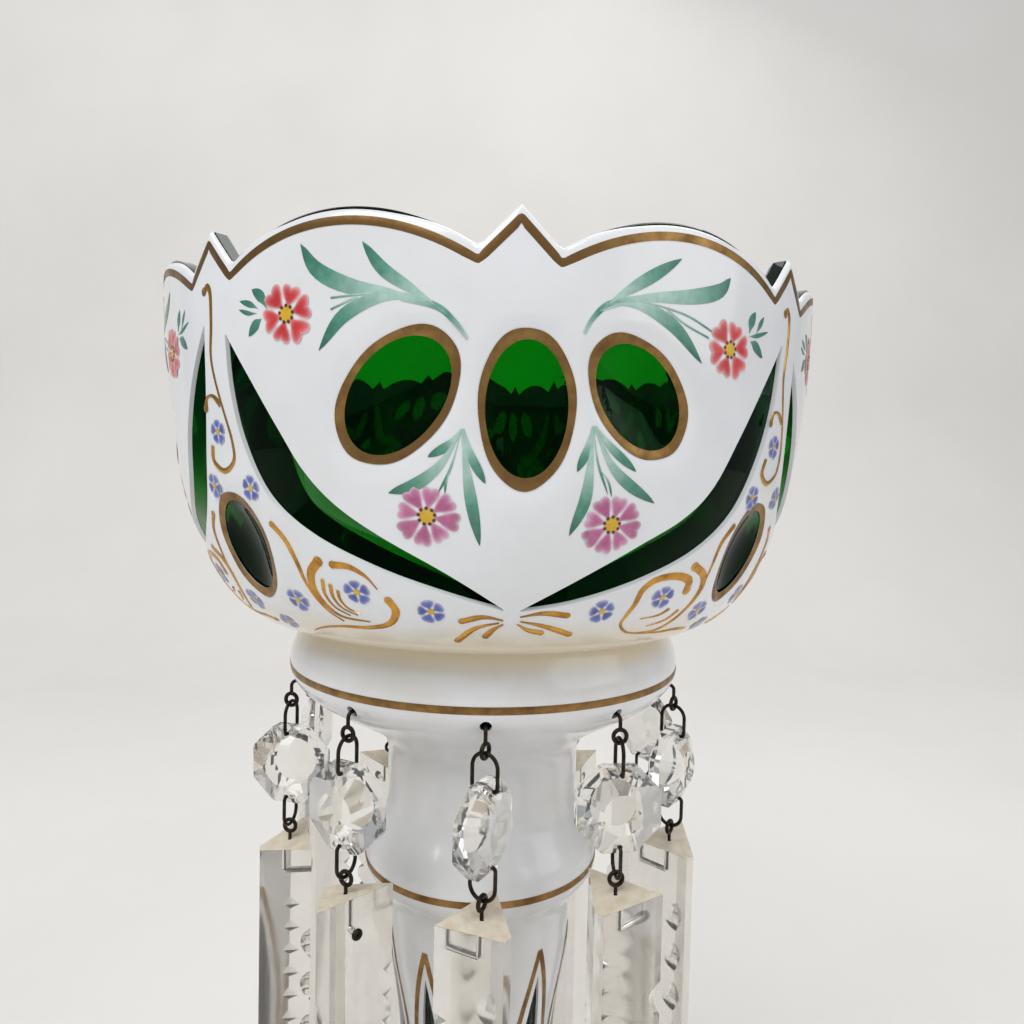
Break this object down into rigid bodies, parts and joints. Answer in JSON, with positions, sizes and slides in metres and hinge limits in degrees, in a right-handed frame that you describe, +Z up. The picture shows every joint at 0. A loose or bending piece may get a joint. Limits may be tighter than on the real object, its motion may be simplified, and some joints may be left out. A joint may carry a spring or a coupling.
{
  "type": "mantel lustre",
  "caption": "Cased glass mantel lustre: a white-over-green bowl with ground windows and a scalloped rim on a hollow pedestal, hung with crystal beads and prisms.",
  "frame": {"origin": "centre of the foot on the table", "axes": "+Z up the lustre, -Y out of the first panel of the bowl"},
  "size_m": [0.15, 0.15, 0.34],
  "materials": {
    "green_glass": "clear emerald, polished",
    "white_casing": "opaque white glass, glossy, with gilt lines and enamel flowers",
    "cement": "creamy, dull",
    "crystal": "clear cut crystal",
    "wire": "dark oxidised wire"
  },
  "bodies": {
    "glassware": {"bowl_green_glass": "green_glass", "bowl_white_overlay": "white_casing", "pedestal_green_glass": "green_glass", "pedestal_white_overlay": "white_casing", "cement_bed": "cement"},
    "hook_01": {"hook_01": "wire"},
    "drop_01": {"bead_01": "crystal", "bead_links_01": "wire"},
    "pendant_01": {"prism_01": "crystal", "prism_pin_01": "wire"},
    "hook_02": {"hook_02": "wire"},
    "drop_02": {"bead_02": "crystal", "bead_links_02": "wire"},
    "pendant_02": {"prism_02": "crystal", "prism_pin_02": "wire"},
    "hook_03": {"hook_03": "wire"},
    "drop_03": {"bead_03": "crystal", "bead_links_03": "wire"},
    "pendant_03": {"prism_03": "crystal", "prism_pin_03": "wire"},
    "hook_04": {"hook_04": "wire"},
    "drop_04": {"bead_04": "crystal", "bead_links_04": "wire"},
    "pendant_04": {"prism_04": "crystal", "prism_pin_04": "wire"},
    "hook_05": {"hook_05": "wire"},
    "drop_05": {"bead_05": "crystal", "bead_links_05": "wire"},
    "pendant_05": {"prism_05": "crystal", "prism_pin_05": "wire"},
    "hook_06": {"hook_06": "wire"},
    "drop_06": {"bead_06": "crystal", "bead_links_06": "wire"},
    "pendant_06": {"prism_06": "crystal", "prism_pin_06": "wire"},
    "hook_07": {"hook_07": "wire"},
    "drop_07": {"bead_07": "crystal", "bead_links_07": "wire"},
    "pendant_07": {"prism_07": "crystal", "prism_pin_07": "wire"},
    "hook_08": {"hook_08": "wire"},
    "drop_08": {"bead_08": "crystal", "bead_links_08": "wire"},
    "pendant_08": {"prism_08": "crystal", "prism_pin_08": "wire"},
    "hook_09": {"hook_09": "wire"},
    "drop_09": {"bead_09": "crystal", "bead_links_09": "wire"},
    "pendant_09": {"prism_09": "crystal", "prism_pin_09": "wire"},
    "hook_10": {"hook_10": "wire"},
    "drop_10": {"bead_10": "crystal", "bead_links_10": "wire"},
    "pendant_10": {"prism_10": "crystal", "prism_pin_10": "wire"}
  },
  "joints": [
    {"name": "hook_01_tilt", "type": "hinge", "parent": "glassware", "child": "hook_01", "pos_m": [-0.00212, -0.04658, 0.2493], "axis": [-0.999, 0.0454, 0], "range_deg": [-2, 5]},
    {"name": "bead_01_swing", "type": "hinge", "parent": "hook_01", "child": "drop_01", "pos_m": [-0.00216, -0.04758, 0.24451], "axis": [-0.999, 0.0454, 0], "range_deg": [-2, 24]},
    {"name": "prism_01_twist", "type": "hinge", "parent": "drop_01", "child": "pendant_01", "pos_m": [-0.00216, -0.04758, 0.21521], "axis": [0, 0, 1], "range_deg": [-35, 35]},
    {"name": "hook_02_tilt", "type": "hinge", "parent": "glassware", "child": "hook_02", "pos_m": [0.02567, -0.03893, 0.2493], "axis": [-0.8348, -0.5505, 0], "range_deg": [-2, 5]},
    {"name": "bead_02_swing", "type": "hinge", "parent": "hook_02", "child": "drop_02", "pos_m": [0.02622, -0.03977, 0.24385], "axis": [-0.8348, -0.5505, 0], "range_deg": [-2, 24]},
    {"name": "prism_02_twist", "type": "hinge", "parent": "drop_02", "child": "pendant_02", "pos_m": [0.02622, -0.03977, 0.21521], "axis": [0, 0, 1], "range_deg": [-35, 35]},
    {"name": "hook_03_tilt", "type": "hinge", "parent": "glassware", "child": "hook_03", "pos_m": [0.04365, -0.01641, 0.2493], "axis": [-0.3518, -0.9361, 0], "range_deg": [-2, 5]},
    {"name": "bead_03_swing", "type": "hinge", "parent": "hook_03", "child": "drop_03", "pos_m": [0.04458, -0.01676, 0.2437], "axis": [-0.3518, -0.9361, 0], "range_deg": [-2, 24]},
    {"name": "prism_03_twist", "type": "hinge", "parent": "drop_03", "child": "pendant_03", "pos_m": [0.04458, -0.01676, 0.21521], "axis": [0, 0, 1], "range_deg": [-35, 35]},
    {"name": "hook_04_tilt", "type": "hinge", "parent": "glassware", "child": "hook_04", "pos_m": [0.04496, 0.01238, 0.2493], "axis": [0.2656, -0.9641, 0], "range_deg": [-2, 5]},
    {"name": "bead_04_swing", "type": "hinge", "parent": "hook_04", "child": "drop_04", "pos_m": [0.04592, 0.01265, 0.24359], "axis": [0.2656, -0.9641, 0], "range_deg": [-2, 24]},
    {"name": "prism_04_twist", "type": "hinge", "parent": "drop_04", "child": "pendant_04", "pos_m": [0.04592, 0.01265, 0.21521], "axis": [0, 0, 1], "range_deg": [-35, 35]},
    {"name": "hook_05_tilt", "type": "hinge", "parent": "glassware", "child": "hook_05", "pos_m": [0.02909, 0.03644, 0.2493], "axis": [0.7815, -0.6239, 0], "range_deg": [-2, 5]},
    {"name": "bead_05_swing", "type": "hinge", "parent": "hook_05", "child": "drop_05", "pos_m": [0.02972, 0.03723, 0.24366], "axis": [0.7815, -0.6239, 0], "range_deg": [-2, 24]},
    {"name": "prism_05_twist", "type": "hinge", "parent": "drop_05", "child": "pendant_05", "pos_m": [0.02972, 0.03723, 0.21521], "axis": [0, 0, 1], "range_deg": [-35, 35]},
    {"name": "hook_06_tilt", "type": "hinge", "parent": "glassware", "child": "hook_06", "pos_m": [0.00212, 0.04658, 0.2493], "axis": [0.999, -0.0454, 0], "range_deg": [-2, 5]},
    {"name": "bead_06_swing", "type": "hinge", "parent": "hook_06", "child": "drop_06", "pos_m": [0.00216, 0.04758, 0.24385], "axis": [0.999, -0.0454, 0], "range_deg": [-2, 24]},
    {"name": "prism_06_twist", "type": "hinge", "parent": "drop_06", "child": "pendant_06", "pos_m": [0.00216, 0.04758, 0.21521], "axis": [0, 0, 1], "range_deg": [-35, 35]},
    {"name": "hook_07_tilt", "type": "hinge", "parent": "glassware", "child": "hook_07", "pos_m": [-0.02567, 0.03893, 0.2493], "axis": [0.8348, 0.5505, 0], "range_deg": [-2, 5]},
    {"name": "bead_07_swing", "type": "hinge", "parent": "hook_07", "child": "drop_07", "pos_m": [-0.02622, 0.03977, 0.24356], "axis": [0.8348, 0.5505, 0], "range_deg": [-2, 24]},
    {"name": "prism_07_twist", "type": "hinge", "parent": "drop_07", "child": "pendant_07", "pos_m": [-0.02622, 0.03977, 0.21521], "axis": [0, 0, 1], "range_deg": [-35, 35]},
    {"name": "hook_08_tilt", "type": "hinge", "parent": "glassware", "child": "hook_08", "pos_m": [-0.04365, 0.01641, 0.2493], "axis": [0.3518, 0.9361, 0], "range_deg": [-2, 5]},
    {"name": "bead_08_swing", "type": "hinge", "parent": "hook_08", "child": "drop_08", "pos_m": [-0.04458, 0.01676, 0.24373], "axis": [0.3518, 0.9361, 0], "range_deg": [-2, 24]},
    {"name": "prism_08_twist", "type": "hinge", "parent": "drop_08", "child": "pendant_08", "pos_m": [-0.04458, 0.01676, 0.21521], "axis": [0, 0, 1], "range_deg": [-35, 35]},
    {"name": "hook_09_tilt", "type": "hinge", "parent": "glassware", "child": "hook_09", "pos_m": [-0.04496, -0.01238, 0.2493], "axis": [-0.2656, 0.9641, 0], "range_deg": [-2, 5]},
    {"name": "bead_09_swing", "type": "hinge", "parent": "hook_09", "child": "drop_09", "pos_m": [-0.04592, -0.01265, 0.24451], "axis": [-0.2656, 0.9641, 0], "range_deg": [-2, 24]},
    {"name": "prism_09_twist", "type": "hinge", "parent": "drop_09", "child": "pendant_09", "pos_m": [-0.04592, -0.01265, 0.21521], "axis": [0, 0, 1], "range_deg": [-35, 35]},
    {"name": "hook_10_tilt", "type": "hinge", "parent": "glassware", "child": "hook_10", "pos_m": [-0.02909, -0.03644, 0.2493], "axis": [-0.7815, 0.6239, 0], "range_deg": [-2, 5]},
    {"name": "bead_10_swing", "type": "hinge", "parent": "hook_10", "child": "drop_10", "pos_m": [-0.02972, -0.03723, 0.24352], "axis": [-0.7815, 0.6239, 0], "range_deg": [-2, 24]},
    {"name": "prism_10_twist", "type": "hinge", "parent": "drop_10", "child": "pendant_10", "pos_m": [-0.02972, -0.03723, 0.21521], "axis": [0, 0, 1], "range_deg": [-35, 35]}
  ]
}
